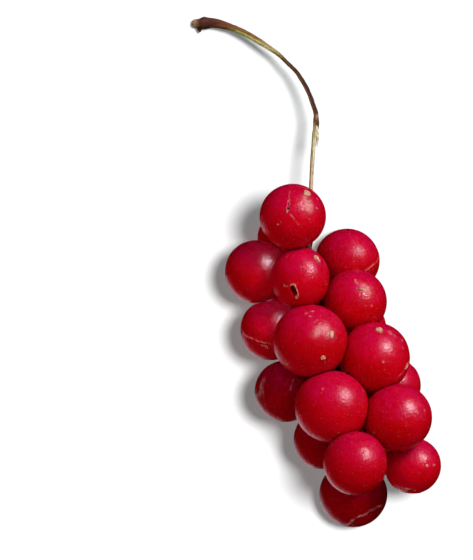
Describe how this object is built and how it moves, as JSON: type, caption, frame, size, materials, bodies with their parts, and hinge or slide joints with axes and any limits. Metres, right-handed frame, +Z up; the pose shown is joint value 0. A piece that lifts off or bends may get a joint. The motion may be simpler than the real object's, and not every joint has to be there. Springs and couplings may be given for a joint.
{
  "type": "schisandra berry cluster",
  "caption": "Picked bunch of round red schisandra berries crowded on a hidden receptacle, with a long thin curved stalk ending in a swollen picked foot; it lies on its side",
  "frame": {"origin": "on the surface that the bunch lies on, under the middle of its bounding box", "axes": "+Z up from the surface, +Y from the tip of the bunch towards the stalk, +X to the right seen from above with the stalk at the top"},
  "size_m": [0.0277, 0.0573, 0.0194],
  "materials": {
    "berry_skin": "ripe red fruit skin, satin with a soft gloss and pale pores",
    "stem_bark": "thin dry stalk, brown to pale green, finely ridged"
  },
  "bodies": {
    "root": {"berries": "berry_skin", "stem": "stem_bark"}
  },
  "joints": []
}
